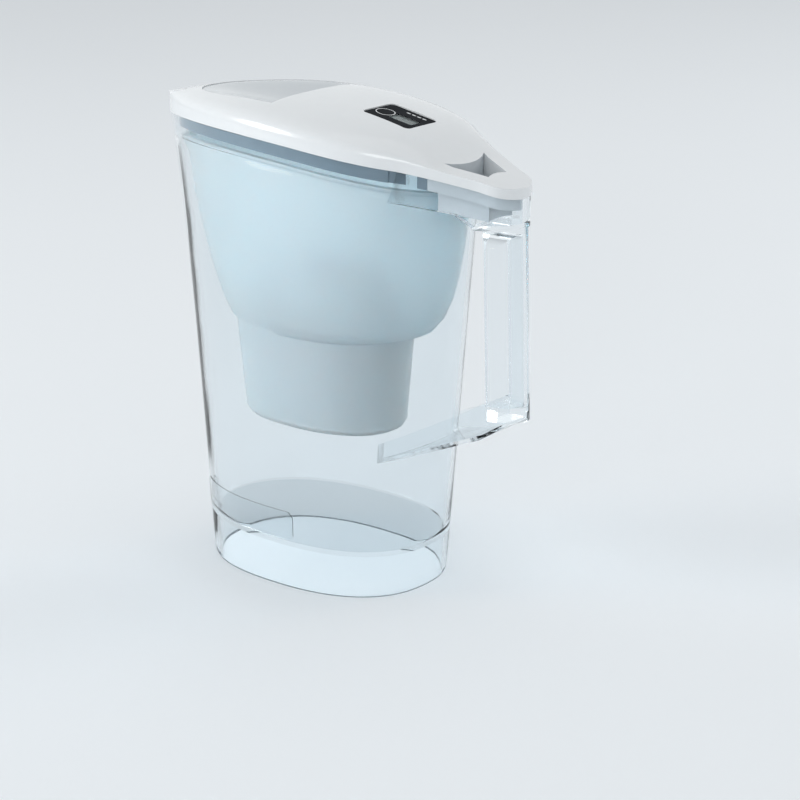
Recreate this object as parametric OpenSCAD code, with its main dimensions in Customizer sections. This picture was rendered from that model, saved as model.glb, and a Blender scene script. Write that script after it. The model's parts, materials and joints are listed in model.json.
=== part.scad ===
// Slim fridge-door water filter jug: clear tank with a looped handle, a frosted
// reservoir holding an oval cartridge, and a white lid with a flip-up fill flap,
// a spout flap and a replacement timer.
// Frame: X runs from the spout (-X) to the handle (+X), Y is the width, Z is up.
// The origin is the centre of the bounding box, on the surface the jug stands on.

/* [Overall] */
// Length from the spout tip to the back of the grip
overall_len = 258; // [220:1:310]
// Width of the lid and of the tank at its widest
body_w = 109; // [96:1:131]
// Height of the lid's crest above the surface
overall_h = 275; // [262:1:300]

/* [Tank] */
// Height of the tank's rim at its highest point
rim_h = 257; // [246:1:262]
// Fall of the rim at 100 mm from its highest point
rim_drop = 8.4; // [2:0.1:12]
// Distance from the spout tip back to the rim's highest point
rim_peak_back = 89; // [70:1:110]
// Distance from the back of the grip forward to the tank's rear wall at the rim
handle_reach = 40; // [36:1:46]
// Length of the rounded rear of the tank at the rim
rear_round = 81; // [70:1:95]
// Distance that the foot is set back from the spout tip
foot_setback = 46.5; // [38:0.5:54]
// Distance that the foot's rear is drawn in from the rim's rear
foot_rake = 26.5; // [20:0.5:30]
// Amount that the foot is narrower than the rim
foot_narrow = 4.4; // [2:0.1:9]
// Wall thickness of the clear tank and handle
tank_wall = 2.4; // [2:0.1:2.8]
// Height of the hollow foot below the tank floor
foot_h = 24.5; // [12:0.5:30]
// Depth of the ledge below the rim that carries the reservoir
ledge_depth = 13; // [12:0.5:16]
// Width of that ledge
ledge_w = 1.5; // [1.2:0.1:2]

/* [Handle] */
// Width of the grip
grip_w = 24; // [21:0.5:27]
// Depth of the grip from its open front to its back
grip_depth = 19.5; // [18:0.5:23]
// Lean of the grip, whose lower end stands further out than its upper end
grip_lean = 1.8; // [0:0.1:1.8]
// Height of the grip's lower end
grip_low = 112; // [100:1:120]
// Height at which the upper bracket closes over the grip
bracket_z = 217.5; // [212:0.5:220]

/* [Reservoir] */
// Wall thickness of the frosted reservoir
res_wall = 1.8; // [1.6:0.1:2.2]
// Distance that the reservoir's nose is set back from the spout
spout_gap = 12; // [9:0.5:15]
// Length of the cartridge cup
cup_len = 111; // [104:1:113]
// Width of the cartridge cup
cup_w = 74; // [68:0.5:77]
// Height of the cup's underside
cup_z = 88; // [80:1:92]
// Height at which the bowl meets the cup
bowl_z = 143; // [140:1:148]
// Diameter of the outlet in the floor of the cup
outlet_d = 16; // [12:0.5:20]

/* [Cartridge] */
// Running gap between the cartridge and its cup
cart_gap = 2; // [1:0.1:2.4]
// Wall thickness of the cartridge
cart_wall = 1.5; // [1.2:0.1:1.8]
// Height of the cartridge's domed cap
cap_h = 36; // [30:1:40]
// Number of inlet slots around the cap
cap_slots = 18; // [12:2:24]
// Radius of the pull ring
ring_r = 12; // [10:0.5:13]
// Thickness of the pull ring
ring_t = 2.8; // [2.4:0.1:3.2]
// Greatest lift of the cartridge under the closed lid
cart_lift = 40; // [20:1:40]

/* [Lid] */
// Wall thickness of the lid
lid_wall = 2.2; // [1.8:0.1:2.4]
// Height of the lid's upright edge
band_h = 5.5; // [4:0.5:6]
// Depth of the lid's skirt inside the rim
skirt_h = 7.5; // [6:0.5:9]
// Distance from the spout tip back to the crest of the dome
crest_back = 99; // [80:1:115]
// Fall of the crest at 100 mm from its highest point
crest_drop = 13.35; // [10:0.05:14.5]
// Half width of the thumb tongue over the grip
tongue_w = 17.5; // [16:0.5:19]
// Half width of the finger hole at its front
hole_w = 17.5; // [14:0.5:18]
// Half width of the finger hole at its rear
hole_w2 = 8; // [6:0.5:9]
// Length of the finger hole
hole_len = 22; // [18:0.5:23]
// Depth of the finger hole's wall below the rim line
hole_depth = 18; // [12:0.5:20]

/* [Fill flap] */
// Distance from the spout tip back to the flap's tip
flap_back = 33; // [28:1:38]
// Length of the half-moon fill flap
flap_len = 78.5; // [70:0.5:84]
// Half width of the fill flap
flap_w = 36; // [30:0.5:37]
// Depth of the scoop at the flap's straight edge
scoop = 9; // [5:0.5:10]
// Gap around the flap
flap_gap = 0.6; // [0.4:0.1:0.8]
// Radius of the flap's hinge pins
pin_r = 1.3; // [1.1:0.1:1.5]
// Running clearance around hinge pins, on the radius
pin_gap = 0.08; // [0.04:0.01:0.1]

/* [Spout flap] */
// Length of the spout flap from its nose to its rear edge
leaf_len = 24; // [20:0.5:27]
// Half width of the spout flap at its rear
leaf_w = 9.5; // [8:0.5:10.5]
// Half width of its nose
nose_w = 2.4; // [2:0.1:3]

/* [Timer] */
// Length of the timer's face
timer_len = 31.5; // [29:0.5:34]
// Width of the timer's face
timer_w = 26.5; // [24:0.5:28]
// Height of the timer module
timer_h = 9; // [8:0.5:10]
// Distance from the tank's rear wall forward to the timer's centre
timer_back = 46.5; // [44:0.5:50]
// Slope of the timer's face
timer_tilt = 11; // [9:0.5:12]
// Length of the display window
window_len = 16; // [14:0.5:17]
// Width of the display window
window_w = 9; // [8:0.5:10]
// Diameter of the round button
button_d = 8.4; // [7:0.2:9]
// Travel of the button
button_travel = 0.5; // [0.3:0.1:0.6]

/* [Hidden] */
// Sides of the tank, reservoir and cartridge outlines
ring_n = 64;
// Sides of the lid's outline
lid_n = 80;

// Plan positions that follow from the sizes above
tip_x = -overall_len / 2;
rear_x = overall_len / 2 - handle_reach;
wide_x = rear_x - rear_round;
peak_x = tip_x + rim_peak_back;
crest_x = tip_x + crest_back;
end_x = overall_len / 2 - 3.4;
foot_tip = tip_x + foot_setback;
foot_rear = rear_x - foot_rake;
foot_mid = (foot_tip + foot_rear) / 2;
half_w = body_w / 2;
foot_w = half_w - foot_narrow / 2;
cup_x = foot_mid - 1.5;
hinge_x = tip_x + flap_back + flap_len;
timer_x = rear_x - timer_back;

// Radial build-up of the rim, measured in from the lid's outline
seat_gap = 0.3;
in_tank = 0.4;
in_tank_inner = in_tank + tank_wall;
in_ledge = in_tank_inner + ledge_w;
in_skirt = in_tank_inner + seat_gap;
in_skirt_inner = in_skirt + 1.8;
in_flange = in_tank_inner + seat_gap;
in_res = in_ledge + seat_gap;
in_res_inner = in_res + res_wall;

function mix(a, b, t) = a + (b - a) * t;
function clamp01(t) = max(0, min(1, t));
function smooth(t) = clamp01(t) * clamp01(t) * (3 - 2 * clamp01(t));

// Height of the rim line, which is also the lid's lower edge
function rim_z(x) = rim_h - rim_drop * pow((x - peak_x) / 100, 2);

// Exponents of the plan outline: a pointed spout and a round rear at the rim
// turn into one oval at the foot
rim_front = [2.2, 0.95];
rim_rear = [2.4, 0.52];
foot_oval = [2.42, 0.413];
function arc_w(t, p) = pow(1 - pow(clamp01(t), p[0]), p[1]);

// Half width of the tank's outline at x, at the fraction f of the rim's height
function out_tip(f, inset) = mix(foot_tip, tip_x, f) + 1.4 * inset;
function out_wide(f) = mix(foot_mid, wide_x, f);
function out_rear(f, inset) = mix(foot_rear, rear_x, f) - inset;
function body_half(x, f, inset) =
    let (xw = out_wide(f), w = mix(foot_w, half_w, f) - inset)
    x < xw ? w * arc_w((xw - x) / (xw - out_tip(f, inset)), mix(foot_oval, rim_front, f))
        : w * arc_w((x - xw) / (out_rear(f, inset) - xw), mix(foot_oval, rim_rear, f));

// Outline points run round from the spout along +Y to the rear and back along -Y
function turn(i, n) = let (a = 360 * i / n) a <= 180 ? a : 360 - a;
function side(i, n) = 360 * i / n <= 180 ? 1 : -1;
function body_x(a, f, inset) = let (xw = out_wide(f))
    a <= 90 ? xw - (xw - out_tip(f, inset)) * cos(a)
        : xw - (out_rear(f, inset) - xw) * cos(a);
function body_ring(f, inset) = [for (i = [0 : ring_n - 1])
    let (a = turn(i, ring_n), x = body_x(a, f, inset))
    [x, side(i, ring_n) * body_half(x, f, inset)]];

// Oval outline of the cup and the cartridge
oval_n = 2.3;
function oval_ring(a, b, n = ring_n) = [for (i = [0 : n - 1])
    let (t = turn(i, n), c = cos(t))
    [cup_x - a * sign(c) * pow(abs(c), 2 / oval_n),
        side(i, n) * b * pow(max(0, sin(t)), 2 / oval_n)]];

// A ring at one height, and a ring that follows the rim at a depth below it
function at_z(ring, z) = [for (p = ring) [p[0], p[1], z]];
function below_rim(ring, d) = [for (p = ring) [p[0], p[1], rim_z(p[0]) - d]];

// Closed solid through a list of rings, with both ends filled by cross strips
function strip(n, off, flip) = [for (i = [0 : n / 2 - 1])
    let (q = [off + i, off + i + 1, off + (n - i - 1) % n, off + (n - i) % n])
    let (u = i == 0 ? [q[0], q[1], q[2]] : i == n / 2 - 1 ? [q[0], q[1], q[3]] : q)
    flip ? [for (k = [len(u) - 1 : -1 : 0]) u[k]] : u];
function walls(n, m) = [for (j = [0 : m - 2]) for (i = [0 : n - 1]) for (h = [0, 1])
    let (a = j * n + i, b = j * n + (i + 1) % n)
    h == 0 ? [a, b, b + n] : [a, b + n, a + n]];
module skin(rings) {
    n = len(rings[0]);
    m = len(rings);
    polyhedron(points = [for (r = rings) for (p = r) p],
        faces = concat(strip(n, 0, true), walls(n, m), strip(n, (m - 1) * n, false)),
        convexity = 8);
}

// ---- Tank ----
tank_levels = [34, 70, 105, 140, 175, 208];
function level_f(z) = z / rim_h;
function tank_outside() = concat(
    [at_z(body_ring(0, in_tank + 0.7), 0), at_z(body_ring(0, in_tank + 0.1), 1.5),
        at_z(body_ring(level_f(5), in_tank), 5)],
    [for (z = tank_levels) at_z(body_ring(level_f(z), in_tank), z)],
    [below_rim(body_ring(level_f(rim_h - ledge_depth), in_tank), ledge_depth),
        below_rim(body_ring(1, in_tank), seat_gap)]);
function tank_inside() = concat(
    [below_rim(body_ring(1, in_tank_inner), seat_gap),
        below_rim(body_ring(level_f(rim_h - ledge_depth), in_tank_inner), ledge_depth),
        below_rim(body_ring(level_f(rim_h - ledge_depth), in_ledge), ledge_depth),
        below_rim(body_ring(level_f(rim_h - ledge_depth - 2), in_ledge), ledge_depth + 2),
        below_rim(body_ring(level_f(rim_h - ledge_depth - 6), in_tank_inner), ledge_depth + 6)],
    [for (k = [len(tank_levels) - 1 : -1 : 1])
        at_z(body_ring(level_f(tank_levels[k]), in_tank_inner), tank_levels[k])],
    [at_z(body_ring(level_f(foot_h + 6), in_tank_inner), foot_h + 6),
        at_z(body_ring(level_f(foot_h + 2.4), in_tank_inner + 1.6), foot_h + 2.4)]);
module tank() {
    color([0.80, 0.88, 0.92, 0.45])
    skin(concat(
        [at_z(body_ring(level_f(foot_h), in_tank_inner), foot_h),
            at_z(body_ring(0, in_tank_inner + 0.4), 0)],
        tank_outside(), tank_inside()));
}
// Space taken by the tank, run on above its rim, for what fits against it
module tank_outer_solid() {
    skin(concat(tank_outside(), [below_rim(body_ring(1, in_tank), -5)]));
}

// ---- Handle: upper bracket, grip and lower bracket ----
arm_x0 = rear_x - 19;
tongue_xc = end_x - 15;
arm_w0 = body_half(arm_x0, 1, 0);
// Half width of the lid's arms and tongue behind the tank
function arm_half(x) = x < tongue_xc ? mix(arm_w0, tongue_w, (x - arm_x0) / (tongue_xc - arm_x0))
    : tongue_w * sqrt(1 - pow(clamp01((x - tongue_xc) / (end_x - tongue_xc)), 2));
arm_steps = 24;
function arm_xs(x0, x1) = [for (i = [0 : arm_steps]) mix(x0, x1, sin(90 * i / arm_steps))];
module arm_plan(inset) {
    xs = arm_xs(arm_x0 - 6, end_x - inset);
    scale_x = (end_x - inset - arm_x0) / (end_x - arm_x0);
    ys = [for (x = xs) max(0, arm_half(arm_x0 + (x - arm_x0) / scale_x) - inset)];
    polygon(concat([for (i = [0 : arm_steps]) [xs[i], ys[i]]],
        [for (i = [arm_steps - 1 : -1 : 0]) [xs[i], -ys[i]]]));
}
// Side view outline pushed through the whole width
module side_prism(points) {
    translate([0, half_w + 5, 0])
    rotate([90, 0, 0])
    linear_extrude(body_w + 10)
    polygon(points);
}
grip_front = end_x - grip_depth + 1.5;
module upper_bracket() {
    top = [for (i = [0 : 12]) let (x = mix(arm_x0 - 8, end_x + 2, i / 12)) [x, rim_z(x) - seat_gap]];
    intersection() {
        difference() {
            linear_extrude(rim_h) arm_plan(in_tank);
            linear_extrude(rim_h) arm_plan(in_tank_inner);
        }
        side_prism(concat(top, [[end_x + 2, bracket_z], [grip_front, bracket_z],
            [grip_front - 11, bracket_z + 8], [arm_x0 - 8, bracket_z + 13]]));
    }
    // Plate that closes the bracket over the grip
    translate([0, 0, bracket_z])
    linear_extrude(2.6)
    difference() {
        arm_plan(in_tank + 0.2);
        translate([arm_x0 - 20, -half_w])
        square([grip_front - 2 - arm_x0 + 20, body_w]);
    }
}
// Plan of the grip: straight sides and an oval back
module grip_plan(x0, x1, w) {
    xc = x1 - 13;
    polygon(concat([[x0, -w]], [for (i = [0 : 14]) let (a = -90 + 180 * i / 14)
        [xc + (x1 - xc) * cos(a), w * sin(a)]], [[x0, w]]));
}
grip_top = bracket_z + 1.2;
module grip() {
    inner_w = grip_w / 2 - tank_wall;
    arch_z = grip_top - 4 - inner_w;
    translate([end_x, 0, grip_top])
    rotate([0, -grip_lean, 0])
    translate([-end_x, 0, -grip_top])
    difference() {
        translate([0, 0, grip_low])
        linear_extrude(grip_top - grip_low)
        grip_plan(grip_front, end_x, grip_w / 2);
        translate([0, 0, grip_low + 8])
        linear_extrude(arch_z - grip_low - 8)
        grip_plan(grip_front - 10, end_x - tank_wall, inner_w);
        intersection() {
            translate([grip_front - 10, 0, arch_z])
            rotate([0, 90, 0])
            cylinder(h = grip_depth + 20, r = inner_w - 0.05, $fn = 48);
            translate([0, 0, arch_z - 0.1])
            linear_extrude(inner_w + 1)
            grip_plan(grip_front - 10, end_x - tank_wall, inner_w);
        }
    }
}
low_x0 = foot_rear + 1;
low_end = overall_len / 2;
function low_half(x) = let (xc = low_end - 17)
    x < xc ? mix(36, grip_w / 2 + 0.6, clamp01((x - low_x0) / (grip_front - low_x0)))
        : (grip_w / 2 + 0.6) * sqrt(1 - pow(clamp01((x - xc) / (low_end - xc)), 2));
module low_plan(inset) {
    xs = arm_xs(low_x0 - 14, low_end - inset);
    ys = [for (x = xs) max(0, low_half(low_x0 + (x - low_x0) * (low_end - low_x0)
        / (low_end - inset - low_x0)) - inset)];
    polygon(concat([for (i = [0 : arm_steps]) [xs[i], ys[i]]],
        [for (i = [arm_steps - 1 : -1 : 0]) [xs[i], -ys[i]]]));
}
low_bottom = [[low_x0 - 14, -32], [low_x0 + 8, -24.5], [low_x0 + 32, -16], [grip_front, -11.5],
    [grip_front + 7, -7], [low_end + 1, 3.5]];
low_top = [[low_end + 1, 8.5], [grip_front, 8], [low_x0 + 32, 1], [low_x0 + 8, -11.5],
    [low_x0 - 14, -22]];
function lifted(points, z) = [for (p = points) [p[0], p[1] + z]];
module lower_bracket() {
    intersection() {
        difference() {
            linear_extrude(rim_h) low_plan(0);
            linear_extrude(rim_h) low_plan(tank_wall);
        }
        side_prism(lifted(concat(low_bottom, low_top), grip_low));
    }
    // Sloping web between the two side walls
    intersection() {
        linear_extrude(rim_h) low_plan(0.2);
        side_prism(lifted(concat(low_bottom, [for (k = [len(low_bottom) - 1 : -1 : 0])
            [low_bottom[k][0], low_bottom[k][1] + tank_wall]]), grip_low));
    }
}
module handle() {
    color([0.80, 0.88, 0.92, 0.45])
    difference() {
        union() {
            upper_bracket();
            grip();
            lower_bracket();
        }
        tank_outer_solid();
    }
}

// ---- Reservoir: bowl and cartridge cup ----
bowl_top = 223;
// The bowl's walls sweep in more sharply at the rear than at the spout
function bowl_g(zeta, x) = sin(90 * pow(clamp01(zeta), mix(0.6, 0.38, smooth((x - cup_x + 40) / 80))));
function res_tip(inset) = inset + spout_gap / 1.4;
// The reservoir's outline: the tank's outline with a blunter, set-back nose
function res_ring(f, inset) = [for (i = [0 : ring_n - 1])
    let (a = turn(i, ring_n), xw = out_wide(f), xt = out_tip(f, res_tip(inset)),
        x = a <= 90 ? xw - (xw - xt) * cos(a) : body_x(a, f, inset),
        w = mix(foot_w, half_w, f) - inset)
    [x, side(i, ring_n) * (a > 90 ? body_half(x, f, inset)
        : min(body_half(x, f, inset), w * arc_w((xw - x) / (xw - xt), [2.3, 0.62])))]];
bowl_zetas = [0.05, 0.14, 0.28, 0.45, 0.64, 0.82, 1];
function bowl_ring(zeta, inset, wall) =
    let (z = mix(bowl_z, bowl_top, zeta), cup = oval_ring(cup_len / 2 - wall, cup_w / 2 - wall),
        out = res_ring(level_f(z), inset))
    [for (i = [0 : ring_n - 1]) let (g = bowl_g(zeta, out[i][0]))
        [mix(cup[i][0], out[i][0], g), mix(cup[i][1], out[i][1], g)]];
cup_taper = 4.5;
function cup_ring(z, wall) = let (t = cup_taper * (bowl_z - z) / (bowl_z - cup_z))
    oval_ring(cup_len / 2 - wall - t, cup_w / 2 - wall - t);
function reservoir_outside() = concat(
    [at_z(cup_ring(cup_z, 1.5), cup_z), at_z(cup_ring(cup_z + 3, 0), cup_z + 3),
        at_z(cup_ring(bowl_z, 0), bowl_z)],
    [for (s = bowl_zetas) at_z(bowl_ring(s, in_res, 0), mix(bowl_z, bowl_top, s))],
    [below_rim(res_ring(level_f(rim_h - 13), in_res), ledge_depth - seat_gap),
        below_rim(res_ring(level_f(rim_h - 13), in_flange), ledge_depth - seat_gap),
        below_rim(res_ring(level_f(rim_h - 11), in_flange), ledge_depth - 2)]);
function reservoir_inside() = concat(
    [below_rim(res_ring(level_f(rim_h - 11), in_res_inner), ledge_depth - 2)],
    [for (k = [len(bowl_zetas) - 1 : -1 : 0])
        at_z(bowl_ring(bowl_zetas[k], in_res_inner, res_wall),
            mix(bowl_z, bowl_top, bowl_zetas[k]) + 1.3)],
    [at_z(cup_ring(bowl_z, res_wall), bowl_z + 1.3),
        at_z(cup_ring(cup_z + 3, res_wall), cup_z + 3),
        at_z(cup_ring(cup_z + 2, res_wall + 1), cup_z + 2)]);
module reservoir() {
    color([0.86, 0.93, 0.96, 0.8])
    difference() {
        skin(concat(reservoir_outside(), reservoir_inside()));
        translate([cup_x, 0, cup_z - 1])
        cylinder(h = 6, d = outlet_d, $fn = 48);
    }
}

// ---- Cartridge ----
cart_z = cup_z + 2 + 0.6;
cart_top = bowl_z - 3;
cart_n = 32;
function cart_ring(z, inset) = let (t = cup_taper * (bowl_z - z) / (bowl_z - cup_z))
    oval_ring(cup_len / 2 - res_wall - cart_gap - t - inset,
        cup_w / 2 - res_wall - cart_gap - t - inset, cart_n);
module cartridge_housing() {
    color([0.93, 0.95, 0.96])
    difference() {
        skin([at_z(cart_ring(cart_z, 2.5), cart_z), at_z(cart_ring(cart_z + 4, 0), cart_z + 4),
            at_z(cart_ring(cart_top, 0), cart_top),
            at_z(cart_ring(cart_top, cart_wall), cart_top),
            at_z(cart_ring(cart_z + 4, cart_wall), cart_z + 4),
            at_z(cart_ring(cart_z + cart_wall, cart_wall + 2.5), cart_z + cart_wall)]);
        for (x = [-24 : 12 : 24]) {
            translate([cup_x + x, 0, cart_z - 1])
            cylinder(h = 5, d = 6, $fn = 32);
        }
    }
}
screen_t = 0.6;
lower_screen_z = cart_z + cart_wall + 2.6;
upper_screen_z = cart_top - 6;
module lower_screen() {
    color([0.85, 0.87, 0.88])
    translate([0, 0, lower_screen_z])
    linear_extrude(screen_t)
    polygon(cart_ring(lower_screen_z, cart_wall + 1.6));
}
module upper_screen() {
    color([0.85, 0.87, 0.88])
    translate([0, 0, upper_screen_z])
    linear_extrude(screen_t)
    polygon(cart_ring(upper_screen_z, cart_wall + 0.4));
}
module filter_granules() {
    z0 = lower_screen_z + screen_t;
    z1 = upper_screen_z;
    color([0.25, 0.24, 0.22])
    skin([at_z(cart_ring(z0, cart_wall + 1.6), z0), at_z(cart_ring(z1, cart_wall + 0.4), z1)]);
}
seal_h = 2.4;
module cartridge_lip_seal() {
    color([0.88, 0.90, 0.91])
    translate([0, 0, cart_top - seal_h - 1])
    linear_extrude(seal_h)
    difference() {
        polygon(cart_ring(cart_top - seal_h - 1, 0.5 - cart_gap));
        polygon(cart_ring(cart_top, -0.02));
    }
}
cap_top = cart_top + cap_h;
function cap_ring(t, inset) = let (s = 15 * pow(t, 1.7))
    oval_ring(cup_len / 2 - res_wall - cart_gap - 0.8 - s - inset,
        cup_w / 2 - res_wall - cart_gap - 0.8 - s - inset, cart_n);
cap_ts = [0, 0.25, 0.5, 0.72, 0.9, 1];
post_h = 2.2;
ring_px = cup_x - 8;
ring_pz = cap_top + 2.4;
module cartridge_cap() {
    color([0.95, 0.96, 0.97])
    difference() {
        union() {
            skin(concat(
                [for (k = [len(cap_ts) - 1 : -1 : 0])
                    at_z(cap_ring(cap_ts[k], cart_wall),
                        cart_top + (cap_h - cart_wall) * cap_ts[k])],
                [for (t = cap_ts) at_z(cap_ring(t, 0), cart_top + cap_h * t)]));
            ring_ears();
        }
        for (i = [0 : cap_slots - 1]) {
            slot_x = mix(-30, 30, (i % (cap_slots / 2) + 0.5) / (cap_slots / 2));
            slot_side = i < cap_slots / 2 ? 1 : -1;
            translate([cup_x + slot_x - 1, slot_side * 24 - 8, cart_top + 9])
            cube([2, 16, 12]);
        }
        translate([ring_px, 0, ring_pz])
        rotate([90, 0, 0])
        cylinder(h = 4 * ring_r, r = pin_r + pin_gap, center = true, $fn = 32);
    }
}
ear_in = ring_r + 0.35;
ear_leg = 14;
// Lugs for the ring's pins: each leg runs down into the cap's wall, however far the roof reaches
module ring_ears() {
    difference() {
        for (s = [-1, 1]) {
            translate([ring_px, s * (ear_in + 1.5), 0])
            rotate([90, 0, 0])
            translate([0, 0, -1.5])
            linear_extrude(3)
            polygon(concat([[-3, cap_top - ear_leg], [3, cap_top - ear_leg], [3, ring_pz]],
                [for (i = [1 : 7]) let (a = 180 * i / 8) [3 * cos(a), ring_pz + 3 * sin(a)]],
                [[-3, ring_pz]]));
        }
        skin([for (t = cap_ts) at_z(cap_ring(t, cart_wall * 0.6),
            cart_top - 1 + (cap_h + 1 - cart_wall * 0.6) * t)]);
    }
}
module cartridge_pull_ring() {
    leg = 9;
    color([0.82, 0.88, 0.92])
    translate([ring_px, 0, ring_pz])
    difference() {
        union() {
            translate([leg, 0, 0])
            rotate([0, 0, -90])
            rotate_extrude(angle = 180, $fn = 48)
            translate([ring_r - 1.6, 0])
            circle(r = ring_t / 2, $fn = 24);
            for (s = [-1, 1]) {
                translate([0, s * (ring_r - 1.6), 0])
                rotate([0, 90, 0])
                cylinder(h = leg, r = ring_t / 2, $fn = 24);
                translate([0, s * (ring_r - 1.6), 0])
                rotate([-90 * s, 0, 0])
                cylinder(h = 4.2, r = pin_r, $fn = 32);
                translate([0, s * (ring_r - 1.6), 0])
                sphere(r = ring_t / 2, $fn = 24);
            }
        }
    }
}

// ---- Lid ----
shoulder_x = rear_x - 34;
shoulder_len = 36;
function crest_z(x) = overall_h - crest_drop * pow((x - crest_x) / 100, 2);
function dome_h(x) = max(1, (crest_z(x) - rim_z(x) - band_h)
    * max(0.15, 1 - pow(max(0, (x - shoulder_x) / shoulder_len), 2)));
// Height of the lid's outer face at x, at the fraction q of its half width
function lid_z(x, q) = rim_z(x) + band_h + dome_h(x) * pow(1 - pow(clamp01(q), 3), 0.42);
function lid_half(x) = x < arm_x0 ? body_half(x, 1, 0) : arm_half(x);
function lid_x(a) = a <= 90 ? wide_x - (wide_x - tip_x) * cos(a) : wide_x - (end_x - wide_x) * cos(a);
function lid_in_x(x, inset) = x < wide_x ? mix(wide_x, x, 1 - 1.4 * inset / (wide_x - tip_x))
    : mix(wide_x, x, 1 - inset / (end_x - wide_x));
function lid_in_y(w, inset) = max(0.3 * w, w - inset);
// Ring on the lid's outer face at the fraction q of its width, drawn in and sunk
function lid_ring(q, inset, dz) = [for (i = [0 : lid_n - 1])
    let (x = lid_x(turn(i, lid_n)), xi = lid_in_x(x, inset))
    [xi, side(i, lid_n) * lid_in_y(lid_half(x) * q, inset), lid_z(xi, q) - dz]];
// Ring parallel to the lid's edge, at a depth below the rim line
function lid_edge(inset, d) = [for (i = [0 : lid_n - 1])
    let (x = lid_x(turn(i, lid_n)), xi = lid_in_x(x, inset))
    [xi, side(i, lid_n) * lid_in_y(lid_half(x), inset), rim_z(xi) - d]];
lid_qs = [0.985, 0.94, 0.86, 0.74, 0.58, 0.38, 0.15];
module lid_outer_solid() {
    skin(concat([lid_edge(0, 0), lid_edge(0, -band_h)], [for (q = lid_qs) lid_ring(q, 0, 0)]));
}
// Space under a lid of the given wall, open at the bottom
module lid_hollow(wall) {
    skin(concat([lid_edge(wall, 5), lid_edge(wall, -2)],
        [for (q = lid_qs) lid_ring(q, wall * q, wall)]));
}
module lid_shell() {
    skin(concat(
        [for (k = [len(lid_qs) - 1 : -1 : 0]) lid_ring(lid_qs[k], in_skirt_inner * lid_qs[k], lid_wall)],
        [lid_edge(in_skirt_inner, -2), lid_edge(in_skirt_inner, skirt_h), lid_edge(in_skirt, skirt_h),
            lid_edge(in_skirt, 0), lid_edge(0, 0), lid_edge(0, -band_h)],
        [for (q = lid_qs) lid_ring(q, 0, 0)]));
}
hole_x0 = rear_x - 3;
hole_x1 = hole_x0 + hole_len;
hole_steps = 8;
module hole_plan(grow) {
    w0 = hole_w + grow;
    w1 = hole_w2 + grow;
    polygon(concat(
        [for (i = [0 : hole_steps]) let (s = -1 + 2 * i / hole_steps)
            [hole_x0 - grow + 4.5 * (1 - s * s), w0 * s]],
        [for (i = [0 : hole_steps]) let (s = 1 - 2 * i / hole_steps)
            [hole_x1 + grow - 1.8 * (1 - s * s), w1 * s]]));
}
// Slot that lets the lid's skirt and hole wall pass over the tank's rear wall
slot_steps = 10;
module rim_slot() {
    x0 = arm_x0 - 6;
    x1 = rear_x + 2;
    intersection() {
        translate([0, 0, rim_h - 60])
        linear_extrude(60)
        difference() {
            polygon(body_ring(1, 0.05));
            polygon(body_ring(1, in_tank_inner + 1.4));
        }
        side_prism(concat([for (i = [0 : slot_steps]) let (x = mix(x0, x1, i / slot_steps))
            [x, rim_z(x) - 0.1]], [[x1, rim_h - 60], [x0, rim_h - 60]]));
    }
}
// Half-moon outline of the fill flap and its opening
function moon(a, b, x0) = concat(
    [for (i = [0 : 18]) let (t = -90 + 180 * i / 18) [x0 - a * cos(t), b * sin(t)]]);
flap_px = hinge_x - 4.4;
flap_py = flap_w + 2.6;
flap_pz = lid_z(flap_px, (flap_py + 0.8) / lid_half(flap_px)) - 2.6;
module flap_opening() {
    translate([0, 0, rim_h - 20])
    linear_extrude(60)
    polygon(moon(flap_len, flap_w, hinge_x));
}
module flap_ears() {
    for (s = [-1, 1]) {
        translate([flap_px - 3, s * (flap_w + 1.7) - 1.7, flap_pz - 3])
        cube([6, 3.4, 4.2]);
    }
}
// Spout flap: a leaf whose nose reaches the tip of the spout
leaf_rear = tip_x + leaf_len;
function leaf_plan(gap) = let (xs = leaf_rear - 2 * (barrel_r + barrel_gap)) [
    [tip_x - 2, -nose_w - gap], [tip_x + 7, -nose_w - 2 - gap], [xs, -leaf_w - gap],
    [leaf_rear, -leaf_w - gap], [leaf_rear, leaf_w + gap], [xs, leaf_w + gap],
    [tip_x + 7, nose_w + 2 + gap], [tip_x - 2, nose_w + gap]];
// Its rear edge is a barrel round the hinge axis, so it turns clear of the lid
barrel_r = 3;
leaf_gap = 0.7;
barrel_gap = 0.9;
leaf_px = leaf_rear - barrel_r - barrel_gap;
leaf_pz = lid_z(leaf_px, 0.6 * leaf_w / lid_half(leaf_px)) - barrel_r;
module leaf_barrel(r, w) {
    translate([leaf_px, 0, leaf_pz])
    rotate([90, 0, 0])
    cylinder(h = 2 * w, r = r, center = true, $fn = 48);
}
module leaf_ears() {
    for (s = [-1, 1]) {
        translate([leaf_px - 2.6, s * (leaf_w + 1.25) - 1.25, leaf_pz - 2.6])
        cube([5.2, 2.5, 5.4]);
    }
}
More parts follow.
